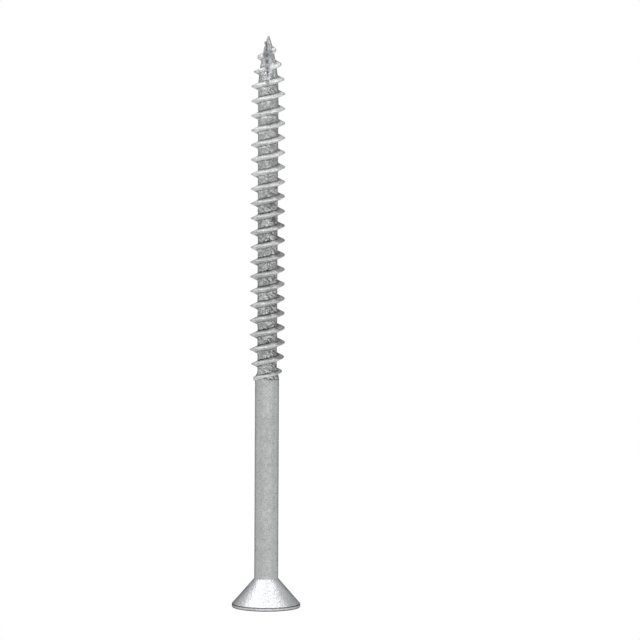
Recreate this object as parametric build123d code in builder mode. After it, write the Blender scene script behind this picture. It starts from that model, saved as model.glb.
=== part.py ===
"""Countersunk deck screw, 6 mm by 100 mm, in one cold-formed and thread-rolled piece of steel.

The screw stands on its flat head with the point up. The origin is the centre of the head's flat
face, +Z runs along the screw to the point, and the slot milled into the point faces -Y.
All sizes are in millimetres and all angles in degrees.
"""

import os
from math import ceil, radians, tan

from build123d import *

# The whole screw
overall_length = 100.0
thread_length = 60.3  # from the point to the shoulder at the end of the smooth shank

# Countersunk head
head_diameter = 12.0
head_cone_angle = 82.0  # included angle of the cone under the head
head_land_height = 0.62  # upright rim between the flat face and the cone
head_edge_chamfer = 0.18  # bevel where the flat face meets the rim
neck_radius = 0.35  # hollow round where the cone runs into the shank

# Six-lobe drive recess, a number 30 hexalobular socket
drive_lobes = 6
drive_across_lobes = 5.6
drive_across_flutes = 4.05
drive_lobe_radius = 0.45
drive_wall_depth = 3.0  # from the head's face to the foot of the lobes
drive_floor_angle = 130.0  # included angle of the cone punched at the bottom
drive_mouth_diameter = 6.2  # where the lead-in meets the head's face
drive_mouth_angle = 120.0  # included angle of the lead-in

# Smooth shank, and the slimmer core that carries the thread
shank_diameter = 4.2
core_diameter = 3.55
shoulder_angle = 110.0  # included angle of the step from the shank down to the core

# Point
point_length = 10.0  # stretch in which the core curves in to the tip
tip_diameter = 0.28  # flat at the very end

# Rolled wood thread, right-handed, one start
thread_diameter = 6.05
thread_pitch = 2.55
thread_crest_width = 0.2
thread_flank_angle = 45.0  # included angle between the two flanks
thread_facets = 36  # flat facets in one turn, which keep the packed mesh light
thread_point_length = 9.6  # stretch in which the crest curves in to the tip
thread_tip_gap = 0.9  # how far from the tip the ridge ends
thread_tip_direction = 210.0  # where the ridge ends, seen from the point, from +X towards +Y
runout_turns = 3  # whole turns in which the ridge rises from the shank to its full height
runout_sink = 0.2  # how far below the shank's surface the ridge begins
runout_swell = 1.5  # exponent: 1 makes the crest rise evenly, and more makes it rise sooner

# Slot milled into the point by a wheel with a V edge
slot_angle = 90.0  # included angle of the V
slot_wheel_radius = 12.0
slot_axis_gap = 0.12  # how far in front of the axis the V's deepest point lies
slot_deepest = 1.2  # how far from the tip the V is deepest

# Radii and heights that follow from the sizes above
head_radius = head_diameter / 2
shank_radius = shank_diameter / 2
core_radius = core_diameter / 2
tip_radius = tip_diameter / 2
crest_radius = thread_diameter / 2
neck_height = head_land_height + (head_radius - shank_radius) / tan(radians(head_cone_angle / 2))
shoulder_height = overall_length - thread_length
shoulder_apex = shoulder_height + shank_radius / tan(radians(shoulder_angle / 2))
drive_floor_depth = drive_wall_depth + drive_across_lobes / 2 / tan(radians(drive_floor_angle / 2))
drive_mouth_depth = drive_mouth_diameter / 2 / tan(radians(drive_mouth_angle / 2))
slot_half_width = crest_radius * tan(radians(slot_angle / 2))

# The ridge has whole turns, as many as reach from its end near the tip back into the shank, and
# the core that carries it begins one turn deeper still
ridge_end = overall_length - thread_tip_gap
ridge_start = ridge_end - ceil((ridge_end - shoulder_height) / thread_pitch) * thread_pitch
core_base = ridge_start - thread_pitch
half_crest = thread_crest_width / 2
flank_spread = tan(radians(thread_flank_angle / 2))
facet_turn = 360 / thread_facets
facet_rise = thread_pitch / thread_facets
first_height = core_base - thread_pitch
least_area = 0.000001  # square millimetres, below which a facet is left out
facet_steps = ceil((overall_length + thread_pitch - first_height) / facet_rise)


def curving_in(radius, length, height):
    """Radius at a height on a surface that curves in to the tip over the given length."""
    share = min((overall_length - height) / length, 1)
    return tip_radius + (radius - tip_radius) * (1 - (1 - share) ** 2)


def ridge_rise(height):
    """How far the crest stands off the core at a height: nothing before and after the ridge."""
    if not ridge_start - facet_rise / 2 < height < ridge_end + facet_rise / 2:
        return 0
    share = min((height - ridge_start) / (runout_turns * thread_pitch), 1)
    missing = (crest_radius - shank_radius + runout_sink) * (1 - max(share, 0)) ** runout_swell
    crest = curving_in(crest_radius, thread_point_length, height) - missing
    return crest - curving_in(core_radius, point_length, height)


def thread_corners(step):
    """Corners of the thread at a step along its helix: low foot, low crest, high crest, high foot.

    They are held between the foot of the core and the tip, so that both ends close.
    """
    middle = first_height + step * facet_rise
    rise = ridge_rise(middle)
    half_foot = half_crest + rise * flank_spread
    corners = []
    for out, up in ((0, -half_foot), (rise, -half_crest), (rise, half_crest), (0, half_foot)):
        height = min(max(middle + up, core_base), overall_length)
        radius = curving_in(core_radius, point_length, height) + out
        corners.append(Vector(radius, 0, height).rotate(Axis.Z, step * facet_turn))
    return corners


def flat_facets(low, high):
    """Flat facets between two neighbouring rows of corners, without those that have no area."""
    facets = []
    for corner in range(len(low) - 1):
        around = [low[corner], low[corner + 1], high[corner + 1], high[corner]]
        for triangle in (around[:3], [around[0], *around[2:]]):
            sides = [triangle[1] - triangle[0], triangle[2] - triangle[0]]
            if sides[0].cross(sides[1]).length > least_area:
                facets.append(Face(Wire.make_polygon(triangle)))
    return facets


# Head and shank, turned about the axis, with the shoulder's cone carried on inside the core
with BuildPart() as blank:
    with BuildSketch(Plane.XZ) as half_outline:
        with BuildLine():
            Polyline(
                (0, 0),
                (head_radius, 0),
                (head_radius, head_land_height),
                (shank_radius, neck_height),
                (shank_radius, shoulder_height),
                (0, shoulder_apex),
                close=True,
            )
        make_face()
        rim = half_outline.vertices().sort_by_distance((head_radius, 0))[0]
        chamfer(rim, head_edge_chamfer)
        neck = half_outline.vertices().sort_by_distance((shank_radius, neck_height))[0]
        fillet(neck, neck_radius)
    revolve(axis=Axis.Z)

# Threaded core: a band of flat facets winds up from the foot of the core to the tip. Each row
# crosses the ridge and then the bare core as far as the next turn of the ridge.
corner_rows = [thread_corners(step) for step in range(facet_steps + thread_facets + 1)]
rows = [[*row, above[0]] for row, above in zip(corner_rows, corner_rows[thread_facets:])]
bottom_ring = [row[0] for row in rows[:thread_facets]]
top_ring = [row[-1] for row in rows[-thread_facets:]]
facets = [Face(Wire.make_polygon(ring)) for ring in (bottom_ring, top_ring)]
for low, high in zip(rows, rows[1:]):
    facets += flat_facets(low, high)
threaded_core = Solid(Shell(facets))

# Six-lobe outline of the drive: a hollow flute touches the round lobes on both of its sides
lobe_step = 360 / drive_lobes
lobe_tip = Vector(drive_across_lobes / 2, 0)
lobe_centre = lobe_tip - Vector(drive_lobe_radius, 0)
flute_direction = Vector(1, 0).rotate(Axis.Z, lobe_step / 2)
flute_low = flute_direction * (drive_across_flutes / 2)
lobe_to_flute = flute_low - lobe_centre
flute_radius = (lobe_to_flute.dot(lobe_to_flute) - drive_lobe_radius**2) / (
    2 * (drive_lobe_radius - lobe_to_flute.dot(flute_direction))
)
flute_centre = flute_low + flute_direction * flute_radius
touch_after = lobe_centre + (flute_centre - lobe_centre).normalized() * drive_lobe_radius
touch_before = Vector(touch_after.X, -touch_after.Y)

# Punch that forms the recess: lobed, with a cone at its end and a wider cone at its mouth
with BuildPart() as punch:
    with BuildSketch() as lobes:
        with BuildLine():
            for lobe in range(drive_lobes):
                turn = lobe * lobe_step
                lobe_end = touch_after.rotate(Axis.Z, turn)
                next_lobe = touch_before.rotate(Axis.Z, turn + lobe_step)
                ThreePointArc(
                    touch_before.rotate(Axis.Z, turn), lobe_tip.rotate(Axis.Z, turn), lobe_end
                )
                ThreePointArc(lobe_end, flute_low.rotate(Axis.Z, turn), next_lobe)
        make_face()
    extrude(amount=drive_floor_depth)
    with BuildSketch(Plane.XZ) as cone_end:
        with BuildLine():
            Polyline(
                (0, 0),
                (drive_across_lobes / 2, 0),
                (drive_across_lobes / 2, drive_wall_depth),
                (0, drive_floor_depth),
                close=True,
            )
        make_face()
    revolve(axis=Axis.Z, mode=Mode.INTERSECT)
    with BuildSketch(Plane.XZ) as cone_mouth:
        with BuildLine():
            Polyline((0, 0), (drive_mouth_diameter / 2, 0), (0, drive_mouth_depth), close=True)
        make_face()
    revolve(axis=Axis.Z)

# Wheel that mills the slot, with its V edge towards the screw
with BuildPart() as wheel:
    with BuildSketch(Plane.XY.offset(overall_length - slot_deepest)) as edge:
        with BuildLine():
            Polyline(
                (0, -slot_axis_gap),
                (slot_half_width, -slot_axis_gap - crest_radius),
                (-slot_half_width, -slot_axis_gap - crest_radius),
                close=True,
            )
        make_face()
    wheel_centre = (0, -slot_axis_gap - slot_wheel_radius, overall_length - slot_deepest)
    revolve(axis=Axis(wheel_centre, (1, 0, 0)))

# The finished screw
with BuildPart() as deck_screw:
    add(blank.part)
    add(threaded_core, rotation=(0, 0, thread_tip_direction))
    add(punch.part, mode=Mode.SUBTRACT)
    add(wheel.part, mode=Mode.SUBTRACT)
deck_screw.part.label = "deck_screw"

os.makedirs("parts", exist_ok=True)
export_step(deck_screw.part, "parts/deck_screw.step")
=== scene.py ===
"""Deck screw in dull zinc-coated steel, standing on its flat head with the point up.

The frame gives the screw's place: the origin is the centre of the head's flat face and +Z runs
along the screw to its point. The screw's classes hold their sizes in millimetres, the studio's and
the camera's in metres, and what they build is in metres. One closed mesh carries the head, the
shank, the thread and the point.
"""

import logging
import math
from dataclasses import dataclass, field, fields
from enum import Enum
from typing import Callable, Optional, Union

import bmesh
import bpy
from mathutils import Matrix, Vector


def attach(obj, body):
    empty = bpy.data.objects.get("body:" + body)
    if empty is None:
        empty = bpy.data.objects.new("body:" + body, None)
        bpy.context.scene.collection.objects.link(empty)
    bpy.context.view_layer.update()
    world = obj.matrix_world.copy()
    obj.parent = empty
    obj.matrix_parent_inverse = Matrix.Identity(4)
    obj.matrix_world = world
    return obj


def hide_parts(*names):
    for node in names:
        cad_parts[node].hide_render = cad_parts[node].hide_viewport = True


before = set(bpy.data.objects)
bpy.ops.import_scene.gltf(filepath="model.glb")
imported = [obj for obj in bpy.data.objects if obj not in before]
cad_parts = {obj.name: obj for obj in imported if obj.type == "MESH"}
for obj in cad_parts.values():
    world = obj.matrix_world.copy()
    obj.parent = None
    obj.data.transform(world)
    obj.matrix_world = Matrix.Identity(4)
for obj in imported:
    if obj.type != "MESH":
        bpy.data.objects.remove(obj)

logging.basicConfig(level=logging.INFO, format="%(message)s")
log = logging.getLogger("deck_screw")

NODE = "deck_screw"
MM = 0.001

# Names of what the thread's mesh tells its finish, which paints shade and light from the root and
# flank marks
RIDGE_MARK = "up_ridge"
ROOT_MARK = "root_shade"
FLANK_MARK = "upper_flank"
BARE_MARK = "bare_shank"
KIND_MARK = "band_kind"

# Columns of points round the screw, and round the finer outline of the drive recess
COLUMNS = 96
RECESS_COLUMNS = 2 * COLUMNS

DIE_LINE = 40.2  # height at which the rolling dies stopped
WELD = 0.002  # distance within which the thread's points are joined

WHITE = (1.0, 1.0, 1.0, 1.0)
FULL_TURN = 2 * math.pi

Place = tuple[float, float, float]


class Zone(Enum):
    """The stretches of the screw that differ in finish, each with its material index."""

    HEAD = 0
    SHANK = 1
    THREAD = 2
    SLOT = 3


class Socket:
    """An output socket that adds Math nodes when it is used in a Python expression."""

    def __init__(self, nodes: "Nodes", socket: bpy.types.NodeSocket) -> None:
        """Wraps a socket of one of the tree's nodes."""
        self.nodes = nodes
        self.socket = socket

    def other(self, name: str) -> "Socket":
        """Another output of the same node."""
        return Socket(self.nodes, self.socket.node.outputs[name])

    def maths(self, operation: str, *values: "Term") -> "Socket":
        """This socket's value first, with the others after it, through one Math node."""
        terms = dict(enumerate((self, *values)))
        return self.nodes.add("ShaderNodeMath", {"operation": operation}, terms)

    def __add__(self, value: "Term") -> "Socket":
        """self + value."""
        return self.maths("ADD", value)

    def __radd__(self, value: "Term") -> "Socket":
        """value + self."""
        return self.maths("ADD", value)

    def __sub__(self, value: "Term") -> "Socket":
        """self - value."""
        return self.maths("SUBTRACT", value)

    def __rsub__(self, value: "Term") -> "Socket":
        """value - self."""
        return self.maths("MULTIPLY_ADD", -1.0, value)

    def __mul__(self, value: "Term") -> "Socket":
        """self * value."""
        return self.maths("MULTIPLY", value)

    def __rmul__(self, value: "Term") -> "Socket":
        """value * self."""
        return self.maths("MULTIPLY", value)

    def __truediv__(self, value: "Term") -> "Socket":
        """self / value."""
        return self.maths("DIVIDE", value)

    def __pow__(self, value: "Term") -> "Socket":
        """self ** value."""
        return self.maths("POWER", value)

    def __abs__(self) -> "Socket":
        """abs(self)."""
        return self.maths("ABSOLUTE")

    def floor(self) -> "Socket":
        """The whole number below the value."""
        return self.maths("FLOOR")

    def root(self) -> "Socket":
        """Square root."""
        return self.maths("SQRT")

    def at_most(self, value: "Term") -> "Socket":
        """The smaller of the two values."""
        return self.maths("MINIMUM", value)

    def at_least(self, value: "Term") -> "Socket":
        """The larger of the two values."""
        return self.maths("MAXIMUM", value)

    def soft_max(self, value: "Term", width: "Term") -> "Socket":
        """The larger of the two values, with a round of about that width where they cross."""
        return self.maths("SMOOTH_MAX", value, width)

    def step(self, low: "Term", high: "Term") -> "Socket":
        """0 below low, 1 above high, and a smooth rise between them."""
        terms = {"Value": self, "From Min": low, "From Max": high}
        return self.nodes.add("ShaderNodeMapRange", {"interpolation_type": "SMOOTHSTEP"}, terms)

    def swell(
        self, gain: "Socket", rise: tuple[float, float], fall: tuple[float, float]
    ) -> "Socket":
        """The gain between a smooth rise and a smooth fall, and 0 outside them."""
        return gain * self.step(*rise) * (1 - self.step(*fall))

    def line(self, middle: float, full: float, end: float) -> "Socket":
        """1 as far as full from the middle, and 0 from end on, in millimetres."""
        return 1 - abs(self - middle * MM).step(full * MM, end * MM)


Term = Union[Socket, float, int]
Getter = Callable[[str], Socket]


class Nodes:
    """A node tree that is written node by node."""

    def __init__(self, tree: bpy.types.NodeTree) -> None:
        """Starts with an empty tree."""
        self.tree = tree
        tree.nodes.clear()

    def add(
        self,
        kind: str,
        settings: Optional[dict[str, object]] = None,
        inputs: Optional[dict[Union[str, int], object]] = None,
        output: Union[str, int] = 0,
    ) -> Socket:
        """Adds one node.

        Args:
            kind: The node's type.
            settings: Its properties, which are set before its sockets.
            inputs: Values or links of its sockets, by name or number.
            output: The output that is returned.

        Returns:
            The output as a socket for expressions, or for a node with none, its first input.
        """
        node = self.tree.nodes.new(kind)
        for name, value in (settings or {}).items():
            setattr(node, name, value)
        for name, value in (inputs or {}).items():
            if isinstance(value, Socket):
                self.tree.links.new(value.socket, node.inputs[name])
            else:
                node.inputs[name].default_value = value
        sockets = node.outputs if len(node.outputs) else node.inputs
        return Socket(self, sockets[output])

    def noise(self, vector: Socket, scale: float, detail: float, seed: float) -> Socket:
        """Noise of mean 0.5, with its features about 1 / scale apart."""
        inputs = {"Vector": vector, "Scale": scale, "Detail": detail, "W": seed}
        return self.add("ShaderNodeTexNoise", {"noise_dimensions": "4D"}, inputs)

    def vector(self, operation: str, first: object, second: object) -> Socket:
        """One Vector Math node."""
        inputs = {0: first, 3 if operation == "SCALE" else 1: second}
        return self.add("ShaderNodeVectorMath", {"operation": operation}, inputs)

    def part(self, vector: Socket, name: str) -> Socket:
        """X, Y or Z of a vector."""
        return self.add("ShaderNodeSeparateXYZ", None, {"Vector": vector}, output=name)

    def from_axis(self, vector: Socket) -> Socket:
        """Distance of a place from the Z axis."""
        east, north = self.part(vector, "X"), self.part(vector, "Y")
        return (east * east + north * north).root()

    def streaked(self, vector: Socket, climb: float, squeeze: float) -> Socket:
        """A place turned and squeezed so that noise at it makes streaks that climb round Z.

        Args:
            vector: The place.
            climb: Radians that a streak turns in one unit of height.
            squeeze: Factor for the height. Streaks are 1 / squeeze times as long as wide.

        Returns:
            The place at which to read the noise.
        """
        terms = {"Vector": vector, "Angle": self.part(vector, "Z") * climb}
        turned = self.add("ShaderNodeVectorRotate", {"rotation_type": "Z_AXIS"}, terms)
        return self.vector("MULTIPLY", turned, (1.0, 1.0, squeeze))


@dataclass(frozen=True)
class RolledMarksAndShade:
    """Wrinkles that rolling leaves in the thread's coating, with painted shade on its flanks,
    crest, core and roots, and painted light on the core under each turn.

    Lengths are in millimetres. Shares run from 0, none, to 1.
    """

    wrinkle: float = 0.5  # distance between wrinkles, which climb round the core
    # How much darker the creases are: painted shade of the wrinkles' relief
    wrinkle_share: float = 0.75
    wrinkle_depth: float = 0.165  # depth of a crease
    wrinkle_climb: float = 620.0  # radians that a wrinkle turns in a metre
    wrinkle_width: float = 0.3  # width of a wrinkle as a share of its length
    # How far a noise is from its mean where a crease is deepest, and where it ends
    crease: tuple[float, float] = (0.005, 0.055)
    ridge_wrinkles: float = 0.22  # how strong the wrinkles are on the ridge
    left_wrinkles: float = 0.6  # how strong they are on the screw's left side
    crest_dark: float = 0.3  # how much darker the crest of the ridge is: painted shade for a dark edge line, partly the rolling seam
    flank_dark: float = 0.55  # how much darker the ridge's upper flank is than its lower one, as painted shade
    flank_mottle: float = 1.2  # how much the flakes break that up
    core_dark: float = 0.4  # how much darker the core is than the ridge: painted shade between the turns
    core_gloss: float = 0.06  # how much less rough the core is than the ridge
    core_metal: float = 0.16  # how much more of the core's coating is bare metal flakes
    root_dark: float = 0.66  # how dark the painted shade line is where the ridge meets the core, and how much painted light lifts the core under it
    root_breaks: tuple[float, float] = (0.3, 0.6)  # flake at which it is broken, and at which full
    side_fade: float = 0.85  # how much the painted shade and light at the roots and flanks fade on the screw's right side
    high_from: float = 66.0  # height at which the changes towards the tip begin
    high_full: float = 82.0  # height from which they are complete
    high_fade: float = 0.5  # how much the wrinkles and the painted shade lines fade there
    high_light: float = 0.11  # how much lighter the thread is there
    high_core_dark: float = 0.11  # how much darker still the core's painted shade is there
    high_root_light: float = 3.6  # how much lighter still the painted light makes the core just below a turn there
    # Where a change begins and ends on the ridge, from 0 at its foot to 1 at its crest
    core_edge: tuple[float, float] = (0.05, 0.5)
    foot_edge: tuple[float, float] = (0.3, 0.95)
    crest_edge: tuple[float, float] = (0.8, 0.95)
    # Where a change begins and ends across the screw, from -1 at its left to 1 at its right
    line_edge: tuple[float, float] = (0.05, 0.45)
    wrinkle_edge: tuple[float, float] = (-0.3, 0.2)
    right_edge: tuple[float, float] = (0.45, 0.75)
    left_edge: tuple[float, float] = (0.7, 0.95)  # the same, towards the left
    left_flank: float = 0.6  # how strong the flank's painted shade is at the left, against the right

    def add(
        self, nodes: Nodes, place: Socket, flake: Socket, seed: float
    ) -> tuple[Socket, Socket, Socket]:
        """Adds the wrinkles, and the painted shade and light.

        Args:
            nodes: The material's nodes.
            place: The place on the screw.
            flake: The coating's coarser noise, which breaks the marks up.
            seed: The finish's seed.

        Returns:
            The factor by which they change the colour, the creases of the wrinkles and the core.
        """
        high = nodes.part(place, "Z").step(self.high_from * MM, self.high_full * MM)
        fade = 1 - high * self.high_fade
        side = self.side(nodes, place)
        even = 1 - side.step(*self.line_edge) * self.side_fade
        up_ridge = self.marked(nodes, RIDGE_MARK)
        core = 1 - up_ridge.step(*self.core_edge)

        # The creases are real relief in the bump, and their darker colour is painted shade
        crease = self.wrinkles(nodes, place, seed) * fade
        crease = crease * (self.ridge_wrinkles + (1 - self.ridge_wrinkles) * core)
        right = side.step(*self.wrinkle_edge)
        crease = crease * (self.left_wrinkles + (1 - self.left_wrinkles) * right)

        # Painted shade: the upper flank is dark at its foot, and all the way up at both sides of
        # the screw
        foot = (1 - up_ridge.step(*self.foot_edge)) * even
        left = (side * -1.0).step(*self.left_edge) * self.left_flank
        ends = side.step(*self.right_edge).at_least(left)
        flank = self.marked(nodes, FLANK_MARK) * (foot + ends).at_most(1.0) * fade
        flank = flank * (1 + (flake - 0.5) * self.flank_mottle)

        # The root's mark is above 0 in the painted shade line and below 0 on the core under it,
        # which painted light makes lighter
        root = self.marked(nodes, ROOT_MARK) * even
        painted_light = root.at_most(0.0) * (1 + high * self.high_root_light)
        root = (root.at_least(0.0) * fade + painted_light) * flake.step(*self.root_breaks)

        # Painted shade on the core, the crest, the upper flank, the roots and the creases, with
        # painted light under each turn
        shade = 1 - core * (self.core_dark + high * self.high_core_dark)
        shade = shade * (1 - up_ridge.step(*self.crest_edge) * self.crest_dark)
        shade = shade * (1 - flank * self.flank_dark)
        shade = shade * (1 - root * self.root_dark)
        shade = shade * (1 - crease * self.wrinkle_share)
        return shade * (1 + high * self.high_light), crease, core

    def side(self, nodes: Nodes, place: Socket) -> Socket:
        """-1 on the screw's left side, 0 in front and behind, and 1 on its right side."""
        return nodes.part(place, "X") / nodes.from_axis(place).at_least(0.05 * MM)

    def marked(self, nodes: Nodes, name: str) -> Socket:
        """What the mesh tells under a name, 0 where it tells nothing."""
        return nodes.add("ShaderNodeAttribute", {"attribute_name": name}, output="Fac")

    def wrinkles(self, nodes: Nodes, place: Socket, seed: float) -> Socket:
        """Draws wrinkles that climb round the core, and crackle where there are none.

        Args:
            nodes: The material's nodes.
            place: The place on the screw.
            seed: The finish's seed.

        Returns:
            1 in the creases and 0 between them.
        """
        drawn = nodes.streaked(place, self.wrinkle_climb, self.wrinkle_width)
        streak = nodes.noise(drawn, 1 / (self.wrinkle * MM), 1.0, seed + 5)
        crackle = nodes.noise(place, 1.2 / (self.wrinkle * MM), 1.5, seed + 6)
        # A crease lies where a noise crosses its mean, and each is fainter in the other's places
        where = nodes.noise(place, 1 / (4 * self.wrinkle * MM), 0.0, seed + 7).step(0.4, 0.6)
        fold = (abs(streak - 0.5) + (1 - where) * 0.03).at_most(abs(crackle - 0.5) + where * 0.02)
        return 1 - fold.step(*self.crease)


@dataclass(frozen=True)
class CoatedSteel:
    """Dull zinc coating on steel: grey and finely mottled, with small pits.

    Lengths are in millimetres. Shares run from 0, none, to 1.
    """

    name: str
    colour: tuple[float, float, float]
    seed: float
    metallic: float
    roughness: float
    patch_share: float
    patch: float = 2.6  # distance between lighter and darker patches
    patch_edge: tuple[float, float] = (0.32, 0.68)  # noise at which a patch is darkest and lightest
    grain: float = 0.17  # distance between the grains of the coating
    grain_share: float = 0.2
    flake: float = 2.5  # size of the coating's flakes, in grains
    flake_relief: float = 0.6  # share of the relief that the flakes make, the grains the rest
    flake_rough: float = 0.16  # how much the roughness changes from flake to flake
    patch_rough: float = 0.12  # how much it changes from patch to patch
    pit: float = 1.1  # distance between pits
    pit_size: float = 0.16  # radius of the largest pits, as a share of the distance between them
    pit_share: float = 0.2
    pit_depth: float = 3.0  # depth of a pit, as a share of the grain's height
    pit_middle: float = 0.4  # radius of a pit's flat middle, as a share of the pit's
    pit_ragged: float = 0.16  # how far a pit's edge strays, as a share of the distance between pits
    pit_cluster: tuple[float, float] = (0.42, 0.56)  # noise at which pits begin and all show
    bump: float = 0.06  # height of the grain
    edge_tint: float = 0.1  # how much of the light is thrown back at a glancing angle
    ior: float = 1.25  # low, so that the coating's own gloss stays faint
    line_height: float = 0.0  # height of the painted shade line in the undercut that the rolling dies leave, 0 for none
    line_dark: float = 0.55  # how dark that painted shade line is
    line_sway: float = 0.25  # how far it strays up and down
    rim_share: float = 0.0  # how much the painted highlight and shade lines on the head's rim stand out
    rim_sway: float = 0.1  # how far they stray up and down
    rim_inside: float = 5.68  # distance from the axis at which the rim begins
    rim_outside: float = 5.8  # distance from which it is complete
    cut_light: float = 0.0  # how much brighter a cut face is away from the middle, as a painted highlight
    cut_inside: float = 1.0  # distance from the axis at which it begins to brighten
    cut_outside: float = 1.5  # distance from which it is brightest
    rolled: Optional[RolledMarksAndShade] = None

    def make(self) -> bpy.types.Material:
        """Builds the material.

        Returns:
            The material.
        """
        material = bpy.data.materials.new(self.name)
        material.use_nodes = True
        nodes = Nodes(material.node_tree)
        place = nodes.add("ShaderNodeTexCoord", output="Object")
        patch = nodes.noise(place, 1 / (self.patch * MM), 2.0, self.seed)
        grain = nodes.noise(place, 1 / (self.grain * MM), 1.0, self.seed + 1)
        flake = nodes.noise(place, 1 / (self.flake * self.grain * MM), 2.0, self.seed + 2)
        pits = self.pits(nodes, place)
        shade = 1 + (patch.step(*self.patch_edge) - 0.5) * (2 * self.patch_share)
        shade = shade * (1 + (grain - 0.5) * (2 * self.grain_share))
        shade = shade * (1 + (flake - 0.5) * self.grain_share)
        shade = shade * (1 - pits * self.pit_share)
        height = grain * (1 - self.flake_relief) + flake * self.flake_relief
        height = height * self.bump - pits * (self.pit_depth * self.bump)
        rough = self.roughness + (flake - 0.5) * self.flake_rough
        rough = rough + (patch - 0.5) * self.patch_rough
        metal = self.metallic
        # The thread's wrinkles, with its painted shade and light
        if self.rolled:
            marks, crease, core = self.rolled.add(nodes, place, flake, self.seed)
            shade = shade * marks
            height = height - crease * self.rolled.wrinkle_depth
            metal = metal + core * self.rolled.core_metal
            rough = rough - core * self.rolled.core_gloss
        # Painted highlight on the head's rim, between painted shade lines
        if self.rim_share:
            shade = shade * (1 + self.rim_lines(nodes, place) * self.rim_share)
        # Painted highlight on the outer part of the cut faces
        if self.cut_light:
            outer = nodes.from_axis(place).step(self.cut_inside * MM, self.cut_outside * MM)
            shade = shade * (1 + outer * self.cut_light)
        # Painted shade line in the undercut where the rolling dies stopped
        if self.line_height:
            shade = shade * (1 - self.die_line(nodes, place) * self.line_dark)
        terms = {"Strength": 1.0, "Distance": MM, "Height": height}
        surface = nodes.add(
            "ShaderNodeBsdfPrincipled",
            None,
            {
                "Base Color": nodes.vector("SCALE", self.colour, shade),
                "Metallic": metal,
                "Roughness": rough,
                "Specular Tint": (self.edge_tint, self.edge_tint, self.edge_tint, 1.0),
                "IOR": self.ior,
                "Normal": nodes.add("ShaderNodeBump", None, terms),
            },
        )
        nodes.add("ShaderNodeOutputMaterial", None, {"Surface": surface})
        return material

    def pits(self, nodes: Nodes, place: Socket) -> Socket:
        """Strews small ragged pits in clusters over the coating.

        Args:
            nodes: The material's nodes.
            place: The place on the screw.

        Returns:
            1 in the middles of the pits and 0 between them.
        """
        terms = {"Vector": place, "Scale": 1 / (self.pit * MM)}
        cells = nodes.add("ShaderNodeTexVoronoi", None, terms)
        ragged = nodes.noise(place, 3 / (self.pit * MM), 1.0, self.seed + 4) - 0.5
        # Each cell's random colour gives its pit a size
        size = cells.other("Color").maths("MULTIPLY", self.pit_size)
        off = cells + ragged * self.pit_ragged
        cluster = nodes.noise(place, 0.35 / (self.pit * MM), 1.0, self.seed + 3)
        return (1 - off.step(size * self.pit_middle, size)) * cluster.step(*self.pit_cluster)

    def rim_lines(self, nodes: Nodes, place: Socket) -> Socket:
        """Paints a highlight on the rim, between painted shade lines in the groove over it and at
        its lower edge.

        Args:
            nodes: The material's nodes.
            place: The place on the screw.

        Returns:
            Above 0 on the painted highlight of the rim, and below 0 in the painted shade lines.
        """
        sway = nodes.noise(place, 1400.0, 1.0, self.seed + 9) - 0.5
        up = nodes.part(place, "Z") + sway * (self.rim_sway * MM)
        # Painted highlight on the land, painted shade in the groove and at the lower edge
        land_highlight = up.line(middle=0.34, full=0.08, end=0.2) * 0.35
        groove = up.line(middle=0.585, full=0.06, end=0.15) * 1.1
        edge = up.line(middle=0.0, full=0.08, end=0.22) * 1.4
        outer = nodes.from_axis(place).step(self.rim_inside * MM, self.rim_outside * MM)
        return (land_highlight - groove - edge) * outer

    def die_line(self, nodes: Nodes, place: Socket) -> Socket:
        """Paints shade for the undercut where the rolling dies stopped, on the right and in front.

        Args:
            nodes: The material's nodes.
            place: The place on the screw.

        Returns:
            1 in the line and 0 beside it.
        """
        sway = nodes.noise(place, 900.0, 1.0, self.seed + 8) - 0.5
        up = nodes.part(place, "Z") + sway * (self.line_sway * MM)
        reach = (nodes.part(place, "X") - nodes.part(place, "Y") * 0.6).step(0.3 * MM, 1.5 * MM)
        return up.line(middle=self.line_height, full=0.03, end=0.11) * reach


@dataclass
class Rings:
    """A mesh of rings of points, each joined to the one before it."""

    mesh: bmesh.types.BMesh = field(default_factory=bmesh.new)
    last: list[bmesh.types.BMVert] = field(default_factory=list)

    def ring(self, points: list[Place], zone: Zone) -> None:
        """Adds a ring, and faces to it from the last one.

        Args:
            points: The ring's points. The last ring may have had two points for each of these.
            zone: The stretch of the screw to which the faces belong.
        """
        verts = [self.mesh.verts.new(Vector(point) * MM) for point in points]
        if self.last:
            closed = self.last + self.last[:1]
            each = len(self.last) // len(verts)
            for here, vert in enumerate(verts):
                after = verts[(here + 1) % len(verts)]
                inner = closed[here * each : (here + 1) * each + 1]
                face = self.mesh.faces.new([vert, after, *reversed(inner)])
                face.material_index = zone.value
        self.last = verts


def add_object(name: str, data: bpy.types.ID) -> bpy.types.Object:
    """Adds an object to the scene.

    Args:
        name: Its name.
        data: Its mesh, lamp or camera.

    Returns:
        The object.
    """
    added = bpy.data.objects.new(name, data)
    bpy.context.scene.collection.objects.link(added)
    return added


def plain_mesh(host: bpy.types.Object) -> bpy.types.Mesh:
    """Turns an object with its modifiers into a plain mesh, and takes the object away.

    Args:
        host: The object.

    Returns:
        The mesh.
    """
    bpy.context.view_layer.update()
    seen = host.evaluated_get(bpy.context.evaluated_depsgraph_get())
    mesh = bpy.data.meshes.new_from_object(seen)
    bpy.data.objects.remove(host)
    return mesh


def around(radius: float, angle: float, height: float) -> Place:
    """A point at a radius, an angle in radians and a height."""
    return (radius * math.cos(angle), radius * math.sin(angle), height)


def angles(count: int) -> list[float]:
    """Angles of that many points round the screw."""
    return [FULL_TURN * here / count for here in range(count)]


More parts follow.
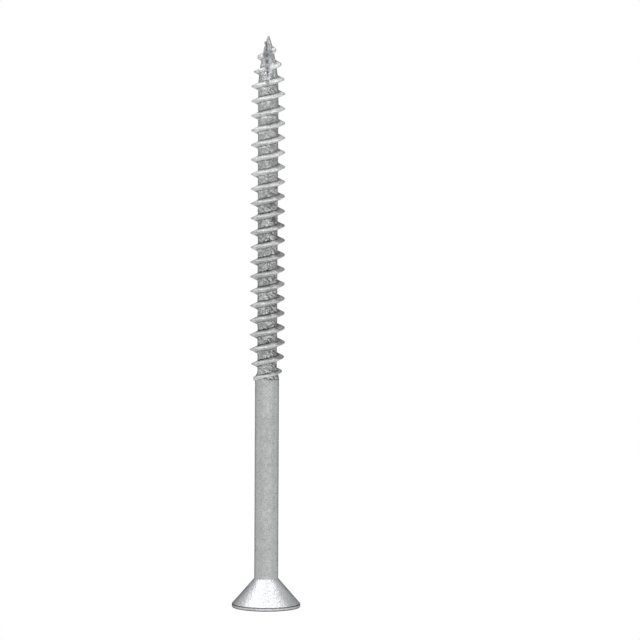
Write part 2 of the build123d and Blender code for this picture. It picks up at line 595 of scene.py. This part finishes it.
@dataclass
class DriveRecess:
    """Six-lobe socket in the head's face."""

    lobes: int = 6
    across_lobes: float = 5.6
    across_flutes: float = 4.05
    lobe_radius: float = 0.45
    wall_depth: float = 3.0
    floor_angle: float = 130.0
    mouth_diameter: float = 6.2
    mouth_angle: float = 120.0
    edge: float = 0.06  # round of the edge between the wall and the lead-in
    foot: float = 0.1  # round where the floor meets the wall
    # Where the rings lie, as shares of the way across the floor, the wall and the lead-in
    floor_rings: tuple[float, ...] = (0.12, 0.3, 0.5, 0.7, 0.86)
    wall_rings: tuple[float, ...] = (0.2, 0.4, 0.6, 0.8, 1.0)
    mouth_rings: tuple[float, ...] = (0.15, 0.5, 0.88)
    # How far outside the mouth the rings on the face lie, and their heights
    face_rings: tuple[tuple[float, float], ...] = ((0.0, 0.012), (0.07, 0.0), (0.3, 0.0))

    def __post_init__(self) -> None:
        """Finds the hollow arc that touches two neighbouring lobes."""
        self.lobe_middle = self.across_lobes / 2 - self.lobe_radius
        half_step = math.pi / self.lobes
        toward = Vector((math.cos(half_step), math.sin(half_step)))
        low = toward * (self.across_flutes / 2)
        gap = low - Vector((self.lobe_middle, 0.0))
        spare = 2 * (self.lobe_radius - gap.dot(toward))
        self.flute_radius = (gap.dot(gap) - self.lobe_radius**2) / spare
        self.flute_middle = self.across_flutes / 2 + self.flute_radius
        to_flute = toward * self.flute_middle - Vector((self.lobe_middle, 0.0))
        touch = Vector((self.lobe_middle, 0.0)) + to_flute.normalized() * self.lobe_radius
        self.touch_angle = math.atan2(touch.y, touch.x)

    def outline(self, angle: float) -> float:
        """Finds the lobed outline.

        Args:
            angle: Direction from the axis in radians.

        Returns:
            The outline's radius in that direction.
        """
        step = FULL_TURN / self.lobes
        off = abs((angle + step / 2) % step - step / 2)
        if off < self.touch_angle:
            across = self.lobe_middle * math.sin(off)
            return self.lobe_middle * math.cos(off) + math.sqrt(self.lobe_radius**2 - across**2)
        off = step / 2 - off
        across = self.flute_middle * math.sin(off)
        return self.flute_middle * math.cos(off) - math.sqrt(self.flute_radius**2 - across**2)

    def floor(self, radius: float) -> float:
        """Height of the floor's cone at a radius."""
        slope = 1 / math.tan(math.radians(self.floor_angle / 2))
        return self.wall_depth + (self.across_lobes / 2 - radius) * slope

    def lead_in(self, radius: float) -> float:
        """Height of the lead-in's cone at a radius."""
        slope = 1 / math.tan(math.radians(self.mouth_angle / 2))
        return (self.mouth_diameter / 2 - radius) * slope

    def section(self, out: float) -> list[tuple[float, float]]:
        """Cuts the recess along a line out from its middle.

        Args:
            out: Radius of the lobed outline there.

        Returns:
            Radius and height of each ring, from the floor's middle out to the head's face.
        """
        points = [(out * share, self.floor(out * share)) for share in self.floor_rings]
        for inset, drop in ((1.0, 0.0), (0.3, 0.3), (0.0, 1.0)):
            radius = out - inset * self.foot
            points.append((radius, self.floor(radius) - drop * self.foot))
        top = self.floor(out) - self.foot
        bottom = self.lead_in(out) + self.edge
        points += [(out, top + (bottom - top) * share) for share in self.wall_rings]
        points.append((out + self.edge / 4, self.lead_in(out) + self.edge / 5))
        mouth = self.mouth_diameter / 2
        for share in self.mouth_rings:
            radius = out + (mouth - out) * share
            points.append((radius, self.lead_in(radius)))
        return points + [(mouth + beyond, height) for beyond, height in self.face_rings]

    def build(self, rings: Rings) -> None:
        """Adds the recess from the middle of its floor out to its mouth.

        Args:
            rings: The mesh to which it is added.
        """
        sections = [(angle, self.section(self.outline(angle))) for angle in angles(RECESS_COLUMNS)]
        for row in range(len(sections[0][1])):
            points = [around(cut[row][0], angle, cut[row][1]) for angle, cut in sections]
            rings.ring(points, Zone.HEAD)


@dataclass
class Head:
    """Countersunk head: flat face, rolled rim and the cone up to the shank."""

    diameter: float = 12.0
    cone_angle: float = 82.0
    land_height: float = 0.62
    face_round: float = 0.2
    neck_radius: float = 0.2
    shank_radius: float = 2.1
    face_rings: tuple[float, ...] = (4.08, 4.92, 5.58)  # radii of the rings on the flat face
    # The rim and the groove between it and the cone's sharp edge: how far each ring lies inside
    # the head's radius and above the rim's height
    groove: tuple[tuple[float, float], ...] = (
        (0.0, -0.32), (0.0, -0.16), (0.02, -0.1), (0.06, -0.06), (0.06, -0.02), (0.012, 0.01),
        (0.01, 0.035),
    )
    low_rings: tuple[float, ...] = (0.09, 0.2)  # how far the cone's first rings lie above the rim
    round_rows: int = 6  # rows in the round between the flat face and the rim
    cone_rows: int = 16
    neck_rows: int = 5
    recess: DriveRecess = field(default_factory=DriveRecess)

    def outline(self) -> list[tuple[float, float]]:
        """Draws the head's outline.

        Returns:
            Radius and height of each ring, from the flat face up to the shank.
        """
        radius = self.diameter / 2
        land = self.land_height
        points = [(ring, 0.0) for ring in self.face_rings]
        for row in range(self.round_rows + 1):
            turn = math.radians(90 * row / self.round_rows)
            out = radius - self.face_round * (1 - math.sin(turn))
            points.append((out, self.face_round * (1 - math.cos(turn))))
        points += [(radius - inset, land + up) for inset, up in self.groove]
        points += [(self.cone(up), land + up) for up in self.low_rings]
        half_angle = math.radians(self.cone_angle / 2)
        neck = (radius - self.shank_radius) / math.tan(half_angle)
        # The hollow round of the neck begins and ends this far from the corner
        reach = self.neck_radius * math.tan(half_angle / 2)
        first = self.low_rings[-1]
        last = neck - reach * math.cos(half_angle)
        for row in range(1, self.cone_rows + 1):
            up = first + (last - first) * row / self.cone_rows
            points.append((self.cone(up), land + up))
        for row in range(1, self.neck_rows + 1):
            turn = half_angle * (1 - row / self.neck_rows)
            out = self.shank_radius + self.neck_radius * (1 - math.cos(turn))
            points.append((out, land + neck + reach - self.neck_radius * math.sin(turn)))
        return points

    def cone(self, above: float) -> float:
        """Radius of the cone at a height above the rim."""
        return self.diameter / 2 - above * math.tan(math.radians(self.cone_angle / 2))

    def build(self, rings: Rings) -> float:
        """Adds the head.

        Args:
            rings: The mesh to which it is added.

        Returns:
            The height of the last ring, where the shank begins.
        """
        self.recess.build(rings)
        outline = self.outline()
        for radius, height in outline:
            rings.ring([around(radius, a, height) for a in angles(COLUMNS)], Zone.HEAD)
        return outline[-1][1]


@dataclass
class Shank:
    """Smooth shank between the head and the thread."""

    radius: float = 2.1
    ring_step: float = 0.5
    wave: float = 0.008  # how far drawing leaves it from true
    long_wave: float = 0.31  # radians by which the longer wave turns in a millimetre
    short_wave: float = 0.83  # radians by which the shorter one turns
    fade_rings: int = 6  # rings over which the waves fade at both ends

    def build(self, rings: Rings, start: float, end: float) -> None:
        """Adds the shank.

        Args:
            rings: The mesh to which it is added.
            start: Height of its lower end, which has its ring already.
            end: Height of its upper end.
        """
        count = round((end - start) / self.ring_step)
        for row in range(1, count + 1):
            height = start + (end - start) * row / count
            swing = self.wave / 2 * min(row, count - row, self.fade_rings) / self.fade_rings
            points = []
            for angle in angles(COLUMNS):
                swell = math.sin(self.long_wave * height + 2 * angle)
                swell += math.sin(self.short_wave * height - 3 * angle)
                points.append(around(self.radius + swing * swell, angle, height))
            rings.ring(points, Zone.SHANK)


@dataclass
class Thread:
    """Rolled wood thread, with the core that carries it, its run-out and its tip."""

    overall_length: float = 100.0
    pitch: float = 2.55
    shank_radius: float = 2.1
    core_radius: float = 1.79
    core_taper: float = 0.1  # how much slimmer the core is at the shank than at the point
    crest_radius: float = 3.065
    crest_taper: float = 0.16  # how much lower the crest is at the point than at the shank
    tip_radius: float = 0.14
    foot: float = 37.2  # height at which the thread's mesh joins the shank's
    shoulder: float = 40.55
    shoulder_length: float = 0.8
    bare_below: float = 40.15  # height below which the smooth shank's finish shows
    bare_within: float = 0.06  # how far out of the shank the ridge still has that finish
    point_length: float = 10.0
    crest_point_length: float = 9.6
    ridge_start: float = 37.9
    ridge_end: float = 99.1
    ridge_direction: float = 210.0  # degrees, where the ridge ends
    runout_length: float = 7.65
    runout_sink: float = 0.2  # how far below the shank's surface the ridge begins
    runout_swell: float = 1.5  # exponent: above 1 the crest rises sooner
    crest_half: float = 0.05  # half the width of the flat crest
    crest_round: float = 0.05
    tip_crest_gain: float = 0.2  # how much wider half the crest is near the tip
    foot_crest_gain: float = 0.2  # how much wider half the crest is just above the shank
    flank_slope: float = 0.4142  # half the ridge's width gained for each unit of its height
    root_round: float = 0.14
    ridge_sway: float = 0.12  # how far the ridge strays along the screw, for each unit of height
    crest_sway: float = 0.14  # how far its crest strays in and out, for each unit of height
    relief: float = 0.05  # height of the unevenness that rolling leaves
    crowding: float = 0.115  # how far points move towards the crest, as a share of the pitch
    points_across: int = 26
    seed: float = 11.0

    def tree(self) -> bpy.types.NodeTree:
        """Builds the Geometry Nodes tree that winds the thread's surface.

        A grid becomes a band that winds up round the axis. Each row of the band crosses the ridge
        from the middle of one hollow to the middle of the next, so the turns meet edge to edge.

        Returns:
            The tree, with the sizes and the two materials as its inputs.
        """
        tree = bpy.data.node_groups.new("Wound thread", "GeometryNodeTree")
        nodes = Nodes(tree)
        face = tree.interface
        face.new_socket("Geometry", in_out="INPUT", socket_type="NodeSocketGeometry")
        for name, value in self.inputs().items():
            kind = "NodeSocketInt" if isinstance(value, int) else "NodeSocketFloat"
            face.new_socket(name, in_out="INPUT", socket_type=kind)
        for name in ("Thread Material", "Shank Material"):
            face.new_socket(name, in_out="INPUT", socket_type="NodeSocketMaterial")
        face.new_socket("Geometry", in_out="OUTPUT", socket_type="NodeSocketGeometry")
        get = nodes.add("NodeGroupInput").other

        terms = {"Vertices X": get("Rows"), "Vertices Y": get("Points Across")}
        grid = nodes.add("GeometryNodeMeshGrid", None, terms)
        place, marks = self.surface(nodes, get)
        terms = {"Geometry": grid, "Position": nodes.vector("SCALE", place, MM)}
        band = nodes.add("GeometryNodeSetPosition", None, terms)
        for name, value in marks.items():
            band = self.mark(nodes, band, name, value)
        # Each face of the band is marked 1 for the thread's finish or 2 for the shank's
        kind = 1 + self.read(nodes, BARE_MARK).maths("GREATER_THAN", 0.5)
        band = self.mark(nodes, band, KIND_MARK, kind, "FACE")
        joined = nodes.add("GeometryNodeJoinGeometry", None, {"Geometry": band})
        tree.links.new(get("Geometry").socket, joined.socket.node.inputs["Geometry"])
        terms = {"Geometry": joined, "Distance": WELD * MM}
        welded = nodes.add("GeometryNodeMergeByDistance", None, terms)
        dressed = nodes.add("GeometryNodeRealizeInstances", None, {"Geometry": welded})
        for number, name in ((1.0, "Thread Material"), (2.0, "Shank Material")):
            chosen = self.read(nodes, KIND_MARK).maths("COMPARE", number, 0.5)
            terms = {"Geometry": dressed, "Selection": chosen, "Material": get(name)}
            dressed = nodes.add("GeometryNodeSetMaterial", None, terms)
        nodes.add("NodeGroupOutput", None, {"Geometry": dressed})
        return tree

    def surface(self, nodes: Nodes, get: Getter) -> tuple[Socket, dict[str, Socket]]:
        """Places the grid's points on the screw.

        Args:
            nodes: The tree's nodes.
            get: Gives an input of the tree by its name.

        Returns:
            A point's place in millimetres, and what the finishes are told there by name.
        """
        index = nodes.add("GeometryNodeInputIndex") + 0.0
        across = get("Points Across")
        # The small addition keeps a row's first point from being counted with the row before
        row = (index / across + 0.0005).floor()
        share = (index - row * across) / (across - 1) - 0.5
        # Points crowd on the crest and thin out in the hollow
        wave = (share * FULL_TURN).maths("SINE")
        offset = get("Pitch") * (share - wave * get("Crowding"))
        turn = row / get("Columns")
        middle = get("First Height") + get("Pitch") * turn
        height = (middle + offset).at_least(get("Foot")).at_most(get("Overall Length"))
        angle = get("First Angle") + turn * FULL_TURN
        east = angle.maths("COSINE")
        north = angle.maths("SINE")

        # Unevenness is read on a plain cylinder, so that it is the same from root to crest
        scale = get("Core Radius")
        terms = {0: east * scale, 1: north * scale, 2: height}
        spot = nodes.add("ShaderNodeCombineXYZ", None, terms)
        sway = nodes.noise(spot, 0.55, 1.0, self.seed) - 0.5
        lift = nodes.noise(spot, 0.9, 1.0, self.seed + 3) - 0.5

        surface = self.blank(get, height)
        crest = self.crest(get, middle.at_least(get("Foot")).at_most(get("Overall Length")))
        rise = (crest - surface).at_least(0.0)
        crest = crest + lift * get("Crest Sway") * rise
        swayed = offset + sway * get("Ridge Sway") * rise
        half_crest = self.half_crest(get, middle)
        from_crest = (abs(swayed) - half_crest).at_least(0.0)
        drop = (from_crest * from_crest + get("Crest Round") ** 2.0).root() - get("Crest Round")
        ridge = crest - drop / get("Flank Slope")
        radius = surface.soft_max(ridge, get("Root Round") * rise.at_most(1.0))
        above = height - get("Foot")
        below = get("Overall Length") - height
        radius = surface + (radius - surface) * above.step(0.0, 0.5)
        clear = above.step(0.0, 2.0) * below.step(0.1, 2.0)
        radius = radius + self.rolled_skin(nodes, spot) * clear * get("Relief")
        terms = {0: east * radius, 1: north * radius, 2: height}
        place = nodes.add("ShaderNodeCombineXYZ", None, terms)

        up_ridge = ((ridge - surface) / rise.at_least(0.02)).at_least(0.0).at_most(1.0)
        half_foot = half_crest + rise * get("Flank Slope")
        bare = height.maths("LESS_THAN", get("Bare Below"))
        within = (radius - get("Shank Radius")).maths("LESS_THAN", get("Bare Within"))
        # The root and flank marks place the finish's painted shade and light
        marks = {
            RIDGE_MARK: up_ridge,
            ROOT_MARK: self.root_shade(offset, half_foot) * rise.at_most(1.0),
            FLANK_MARK: swayed.step(0.0, 0.12) * up_ridge.step(0.0, 0.15),
            BARE_MARK: bare * within,
        }
        return place, marks

    def half_crest(self, get: Getter, middle: Socket) -> Socket:
        """Finds how wide the flat crest is, which is blunter on the first and last turns.

        Args:
            get: Gives an input of the tree by its name.
            middle: Height of the ridge's middle.

        Returns:
            Half the crest's width there.
        """
        to_end = get("Ridge End") - middle
        blunt = to_end.swell(get("Tip Crest Gain"), rise=(0.6, 1.6), fall=(3.4, 4.6))
        from_foot = middle - get("Shoulder")
        broad = from_foot.swell(get("Foot Crest Gain"), rise=(-1.3, -0.8), fall=(-0.3, 0.7))
        return get("Crest Half") + blunt + broad

    def root_shade(self, offset: Socket, half_foot: Socket) -> Socket:
        """Paints shade at the roots of the ridge, and light on the core under it.

        Args:
            offset: Height above the ridge's middle.
            half_foot: Half the width of the ridge's foot.

        Returns:
            A value above 0 in the painted shade lines on the ridge's flanks, and below 0 on the
            core just under the ridge, where painted light makes it lighter.
        """
        upper = offset - half_foot
        lower = offset + half_foot
        dark = self.dip(upper, 0.17) + self.dip(lower - 0.17, 0.13) * 0.15
        return dark - self.dip(lower + 0.12, 0.24) * 0.36

    def mark(
        self, nodes: Nodes, mesh: Socket, name: str, value: Socket, domain: str = "POINT"
    ) -> Socket:
        """Stores a value on the mesh.

        Args:
            nodes: The tree's nodes.
            mesh: The mesh.
            name: The name under which the value is stored.
            value: The value.
            domain: POINT to store it at each point, or FACE to store it at each face.

        Returns:
            The mesh with the value.
        """
        settings = {"data_type": "FLOAT", "domain": domain}
        terms = {"Geometry": mesh, "Name": name, "Value": value}
        return nodes.add("GeometryNodeStoreNamedAttribute", settings, terms)

    def read(self, nodes: Nodes, name: str) -> Socket:
        """Reads what is stored under a name, 0 where nothing is."""
        return nodes.add("GeometryNodeInputNamedAttribute", {"data_type": "FLOAT"}, {"Name": name})

    def dip(self, value: Socket, width: float) -> Socket:
        """1 where the value is 0, falling to 0 over the width on each side."""
        return 1 - abs(value).step(0.0, width)

    def along(self, get: Getter, height: Socket) -> Socket:
        """Share of the way from the start of the ridge to the tip."""
        share = (height - get("Ridge Start")) / (get("Overall Length") - get("Ridge Start"))
        return share.at_least(0.0).at_most(1.0)

    def blank(self, get: Getter, height: Socket) -> Socket:
        """Finds the surface without the ridge: the shank, the shoulder, the core and the point.

        Args:
            get: Gives an input of the tree by its name.
            height: Height on the screw.

        Returns:
            The surface's radius there.
        """
        length = get("Shoulder Length")
        down = (height - get("Shoulder")).step(-0.06, length + 0.06)
        curve = self.curve(get, height, "Point Length")
        slim = get("Core Taper") * (1 - self.along(get, height))
        core = get("Tip Radius") + (get("Core Radius") - get("Tip Radius")) * curve - slim
        return core + (get("Shank Radius") - core) * (1 - down)

    def crest(self, get: Getter, middle: Socket) -> Socket:
        """Finds the crest of the ridge.

        Args:
            get: Gives an input of the tree by its name.
            middle: Height of the ridge's middle.

        Returns:
            The crest's radius there, which is below the core's before and after the ridge.
        """
        curve = self.curve(get, middle, "Crest Point Length")
        full = get("Tip Radius") + (get("Crest Radius") - get("Tip Radius")) * curve
        begun = (middle - get("Ridge Start")) / get("Runout Length")
        lacking = (1 - begun.at_least(0.0).at_most(1.0)) ** get("Runout Swell")
        depth = get("Crest Radius") - get("Shank Radius") + get("Runout Sink")
        gone = (middle - get("Ridge End")).step(-0.05, 0.12)
        lower = get("Crest Taper") * self.along(get, middle) * curve
        return full - depth * lacking - gone * 0.3 - lower

    def curve(self, get: Getter, height: Socket, length: str) -> Socket:
        """1 up to the named length from the tip, and then a curve down to 0 at the tip."""
        left = ((get("Overall Length") - height) / get(length)).at_most(1.0)
        return 1 - (1 - left) * (1 - left)

    def rolled_skin(self, nodes: Nodes, spot: Socket) -> Socket:
        """Draws the unevenness that rolling leaves in the surface.

        Args:
            nodes: The tree's nodes.
            spot: The place on a plain cylinder.

        Returns:
            The unevenness, between about -1 and 1.
        """
        coarse = nodes.noise(spot, 1.1, 1.0, self.seed + 5) - 0.5
        fine = nodes.noise(nodes.streaked(spot, 0.47, 0.42), 2.2, 1.0, self.seed + 7) - 0.5
        return coarse * 1.1 + fine * 1.3

    def inputs(self) -> dict[str, Union[int, float]]:
        """Lists the tree's inputs.

        Returns:
            Every field that the tree reads, and where and how long the band is, by name.
        """
        python_only = ("ridge_direction", "seed")
        sizes = [size.name for size in fields(self) if size.name not in python_only]
        first = self.foot - self.pitch
        turns = math.ceil((self.overall_length + self.pitch - first) / self.pitch)
        # The first row lies a whole number of columns before the end of the ridge
        steps = math.ceil((self.ridge_end - first) / self.pitch * COLUMNS)
        return {
            "Columns": COLUMNS,
            "Rows": turns * COLUMNS + 1,
            "First Height": self.ridge_end - steps * self.pitch / COLUMNS,
            "First Angle": math.radians(self.ridge_direction) - FULL_TURN * steps / COLUMNS,
            **{name.replace("_", " ").title(): getattr(self, name) for name in sizes},
        }

    def build(
        self, host: bpy.types.Object, thread: bpy.types.Material, shank: bpy.types.Material
    ) -> bpy.types.Mesh:
        """Winds the thread onto the head and shank.

        Args:
            host: The head and shank.
            thread: The thread's material.
            shank: The shank's material.

        Returns:
            The whole screw as a plain mesh.
        """
        modifier = host.modifiers.new("Thread", "NODES")
        modifier.node_group = self.tree()
        values = {**self.inputs(), "Thread Material": thread, "Shank Material": shank}
        for item in modifier.node_group.interface.items_tree:
            if item.in_out == "INPUT" and item.name in values:
                modifier[item.identifier] = values[item.name]
        return plain_mesh(host)


@dataclass
class PointSlot:
    """Slot that a V-edged wheel mills into the point."""

    angle: float = 90.0
    wheel_radius: float = 15.0
    axis_gap: float = 0.2  # how far in front of the axis the V's deepest point lies
    aside: float = -0.32  # how far to the side of the axis the V's valley lies
    turn: float = 12.0  # degrees by which the V turns to face the left
    deepest: float = 98.8  # height at which the V is deepest
    depth: float = 3.2  # how far in from its edge the wheel is modelled
    facets: int = 240

    def build(self, material: bpy.types.Material) -> bpy.types.Object:
        """Makes the wheel as a cutter.

        Args:
            material: The finish that the cut faces take.

        Returns:
            The cutter.
        """
        half = self.depth * math.tan(math.radians(self.angle / 2))
        inner = self.wheel_radius - self.depth
        section = ((0.0, self.wheel_radius), (half, inner), (-half, inner))
        mesh = bmesh.new()
        loops = []
        for turn in angles(self.facets):
            loop = []
            for side, radius in section:
                ahead = -self.wheel_radius + radius * math.cos(turn)
                up = self.deepest + radius * math.sin(turn)
                loop.append(mesh.verts.new(Vector((side, ahead, up)) * MM))
            loops.append(loop)
        for here, loop in enumerate(loops):
            after = loops[(here + 1) % len(loops)]
            for corner in range(len(section)):
                follow = (corner + 1) % len(section)
                mesh.faces.new([loop[corner], loop[follow], after[follow], after[corner]])
        turned = Matrix.Rotation(math.radians(self.turn), 4, "Z")
        moved = Matrix.Translation(Vector((self.aside, -self.axis_gap, 0.0)) * MM)
        mesh.transform(moved @ turned)
        bmesh.ops.recalc_face_normals(mesh, faces=mesh.faces)
        data = bpy.data.meshes.new("slot_wheel")
        mesh.to_mesh(data)
        mesh.free()
        data.materials.append(material)
        return add_object("slot_wheel", data)


@dataclass
class DeckScrew:
    """The whole screw as one closed piece."""

    head: Head = field(default_factory=Head)
    shank: Shank = field(default_factory=Shank)
    thread: Thread = field(default_factory=Thread)
    slot: PointSlot = field(default_factory=PointSlot)
    sharp_angle: float = 38.0  # degrees between two faces above which their edge is sharp
    straight: float = 0.1  # radians between two edges below which they count as one

    def finishes(self) -> dict[Zone, CoatedSteel]:
        """Lists the finishes.

        Returns:
            The finish of each stretch.
        """
        return {
            Zone.HEAD: CoatedSteel(
                "coated_head", (0.41, 0.418, 0.43), seed=3.0, metallic=1.0, roughness=0.37,
                patch_share=0.04, grain=0.22, pit=0.42, pit_share=0.6, bump=0.11,
                edge_tint=0.15, rim_share=0.6,
            ),
            Zone.SHANK: CoatedSteel(
                "coated_shank", (0.425, 0.43, 0.43), seed=20.0, metallic=0.95, roughness=0.24,
                patch_share=0.03, grain=0.24, grain_share=0.38, pit=0.75, pit_size=0.36,
                pit_share=0.45, bump=0.014, edge_tint=0.25, line_height=DIE_LINE,
            ),
            Zone.THREAD: CoatedSteel(
                "coated_thread", (0.88, 0.885, 0.89), seed=40.0, metallic=0.62, roughness=0.43,
                patch_share=0.08, grain=0.27, grain_share=0.6, pit_share=0.45, bump=0.035,
                edge_tint=0.0, line_height=DIE_LINE, rolled=RolledMarksAndShade(),
            ),
            # On the cut faces the strong patches are painted glints and dark reflections, and their
            # outer part has a painted highlight
            Zone.SLOT: CoatedSteel(
                "coated_slot", (0.4, 0.405, 0.41), seed=64.0, metallic=0.9, roughness=0.26,
                patch=0.5, patch_share=0.36, grain_share=0.3, cut_light=0.6,
            ),
        }

    def build(self) -> bpy.types.Object:
        """Builds and dresses the screw.

        Returns:
            The finished piece.
        """
        looks = {zone: finish.make() for zone, finish in self.finishes().items()}
        rings = Rings()
        start = self.head.build(rings)
        self.shank.build(rings, start, self.thread.foot)
        self.cap_recess(rings.mesh)
        stem = self.to_object(rings.mesh, "screw_stem", [looks[zone] for zone in Zone])
        wound = self.thread.build(stem, looks[Zone.THREAD], looks[Zone.SHANK])
        whole = bmesh.new()
        whole.from_mesh(wound)
        self.cap_tip(whole)
        bmesh.ops.recalc_face_normals(whole, faces=whole.faces)
        body = self.to_object(whole, "screw_blank", list(wound.materials))
        return self.mill(body, self.slot.build(looks[Zone.SLOT]))

    def cap_recess(self, mesh: bmesh.types.BMesh) -> None:
        """Closes the middle of the recess's floor.

        Args:
            mesh: The head and shank.
        """
        # The other open end is the shank's, at the thread's foot
        low = self.thread.foot / 2 * MM
        edges = [e for e in mesh.edges if e.is_boundary and e.verts[0].co.z < low]
        filled = bmesh.ops.contextual_create(mesh, geom=edges)
        bmesh.ops.poke(mesh, faces=filled["faces"], offset=0.0)

    def cap_tip(self, mesh: bmesh.types.BMesh) -> None:
        """Closes the small flat at the tip.

        Args:
            mesh: The whole screw.
        """
        edges = [e for e in mesh.edges if e.is_boundary]
        log.info("open edges at the tip: %d", len(edges))
        side = edges[0].link_faces[0].material_index
        filled = bmesh.ops.contextual_create(mesh, geom=edges)
        for face in filled["faces"]:
            face.material_index = side

    def to_object(
        self, mesh: bmesh.types.BMesh, name: str, looks: list[bpy.types.Material]
    ) -> bpy.types.Object:
        """Turns a mesh into an object.

        Args:
            mesh: The mesh, which is freed.
            name: The object's name.
            looks: Its materials, in the order of their indices.

        Returns:
            The object.
        """
        data = bpy.data.meshes.new(name)
        mesh.to_mesh(data)
        mesh.free()
        for look in looks:
            data.materials.append(look)
        return add_object(name, data)

    def mill(self, body: bpy.types.Object, cutter: bpy.types.Object) -> bpy.types.Object:
        """Cuts the slot.

        Args:
            body: The screw without its slot.
            cutter: The wheel. Both objects are taken away.

        Returns:
            The finished piece.
        """
        cut = body.modifiers.new("Slot", "BOOLEAN")
        cut.operation = "DIFFERENCE"
        cut.solver = "EXACT"
        cut.material_mode = "TRANSFER"
        cut.object = cutter
        data = plain_mesh(body)
        bpy.data.objects.remove(cutter)
        self.drop_spare_points(data)
        data.name = "screw"
        for face in data.polygons:
            face.use_smooth = True
        data.set_sharp_from_angle(angle=math.radians(self.sharp_angle))
        return add_object("screw", data)

    def drop_spare_points(self, data: bpy.types.Mesh) -> None:
        """Takes out points that only part a straight edge of the cut, which fold into slivers.

        Args:
            data: The whole screw.
        """
        mesh = bmesh.new()
        mesh.from_mesh(data)
        between = [v for v in mesh.verts if len(v.link_edges) == 2]
        spare = [v for v in between if v.calc_edge_angle() < self.straight]
        log.info("spare points on the cut's edges: %d", len(spare))
        bmesh.ops.dissolve_verts(mesh, verts=spare)
        mesh.to_mesh(data)
        mesh.free()


@dataclass(frozen=True)
class Lamp:
    """Soft panel that faces the screw."""

    name: str
    place: Place
    size: tuple[float, float]
    power: float  # watts
    aim: Place = (0.0, 0.0, 0.05)

    def build(self) -> None:
        """Adds the panel."""
        light = bpy.data.lights.new(self.name, "AREA")
        light.shape = "RECTANGLE"
        light.size, light.size_y = self.size
        light.energy = self.power
        lamp = add_object(self.name, light)
        lamp.location = self.place
        ahead = (Vector(self.aim) - Vector(self.place)).normalized()
        side = (Vector((1.0, 0.0, 0.0)) - ahead * ahead.x).normalized()
        lamp.rotation_euler = Matrix((side, side.cross(ahead), -ahead)).transposed().to_euler()


@dataclass
class Studio:
    """Plain pale floor, soft lamps and a white backdrop."""

    floor_size: float = 4.0
    floor_grey: float = 0.95
    shadow_share: float = 0.25  # how much of its shadow the floor shows close to the screw
    shadow_full: float = 0.012  # distance from the middle of the head to where that much shows
    shadow_end: float = 0.05  # distance from which none shows
    world_light: float = 0.4
    lamps: tuple[Lamp, ...] = (
        Lamp("top_panel", (-0.08, -0.02, 0.9), (1.42, 0.7), 7.4),
        Lamp("front_panel", (0.08, -1.1, 0.5), (2.4, 1.0), 7.6),
    )

    def build(self) -> None:
        """Adds the floor, the lamps and the world."""
        self.floor()
        for lamp in self.lamps:
            lamp.build()
        self.world()
        bpy.context.scene.view_settings.view_transform = "Standard"

    def seen(self, nodes: Nodes) -> Socket:
        """Tells rays that show the background from those that light the screw.

        Args:
            nodes: The material's or the world's nodes.

        Returns:
            1 for rays from the camera or by way of gloss or glass, and 0 for all others.
        """
        path = nodes.add("ShaderNodeLightPath", output="Is Camera Ray")
        shiny = path.other("Is Glossy Ray").at_least(path.other("Is Transmission Ray"))
        return path.at_least(shiny)

    def floor(self) -> None:
        """Pale floor that shows white to the camera and keeps the screw's shadow."""
        material = bpy.data.materials.new("pale_floor")
        material.use_nodes = True
        nodes = Nodes(material.node_tree)
        pale = (self.floor_grey, self.floor_grey, self.floor_grey, 1.0)
        matt = nodes.add("ShaderNodeBsdfDiffuse", None, {"Color": pale})
        glow = nodes.add("ShaderNodeEmission", None, {"Color": WHITE})
        place = nodes.add("ShaderNodeTexCoord", output="Object")
        off = nodes.vector("LENGTH", place, (0.0, 0.0, 0.0)).other("Value")
        away = off.step(self.shadow_full, self.shadow_end)
        share = self.seen(nodes) * ((1 - self.shadow_share) + self.shadow_share * away)
        mix = nodes.add("ShaderNodeMixShader", None, {0: share, 1: matt, 2: glow})
        nodes.add("ShaderNodeOutputMaterial", None, {"Surface": mix})
        half = self.floor_size / 2
        mesh = bpy.data.meshes.new("floor")
        corners = [(-half, -half, 0), (half, -half, 0), (half, half, 0), (-half, half, 0)]
        mesh.from_pydata(corners, [], [(0, 1, 2, 3)])
        mesh.materials.append(material)
        add_object("floor", mesh)

    def world(self) -> None:
        """White background to the camera, and even light from all round."""
        world = bpy.data.worlds.new("studio")
        bpy.context.scene.world = world
        world.use_nodes = True
        nodes = Nodes(world.node_tree)
        level = self.world_light + self.seen(nodes) * (1 - self.world_light)
        light = nodes.add("ShaderNodeBackground", None, {"Color": WHITE, "Strength": level})
        nodes.add("ShaderNodeOutputWorld", None, {"Surface": light})


@dataclass
class PhotoCamera:
    """Camera at the photograph's viewing angle."""

    lens: float = 251.6  # millimetres, as the sensor
    sensor: float = 36.0
    nearest: float = 0.01  # distance from which things show
    place: Place = (0.0092, -0.778, 0.1163)
    pitch: float = 4.83  # degrees down
    roll: float = 0.31  # degrees

    def build(self) -> None:
        """Adds the camera and makes it the scene's."""
        data = bpy.data.cameras.new("camera")
        data.lens = self.lens
        data.sensor_width = self.sensor
        data.clip_start = self.nearest
        camera = add_object("camera", data)
        camera.location = self.place
        camera.rotation_mode = "XYZ"
        camera.rotation_euler = (math.radians(90 - self.pitch), 0.0, 0.0)
        camera.rotation_euler.rotate_axis("Z", math.radians(self.roll))
        bpy.context.scene.camera = camera


def main() -> None:
    """Builds the screw and its studio in order."""
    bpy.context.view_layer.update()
    piece = DeckScrew().build()
    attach(piece, "root")
    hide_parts(NODE)
    log.info("screw: %d faces", len(piece.data.polygons))
    Studio().build()
    PhotoCamera().build()


if __name__ == "__main__":
    main()
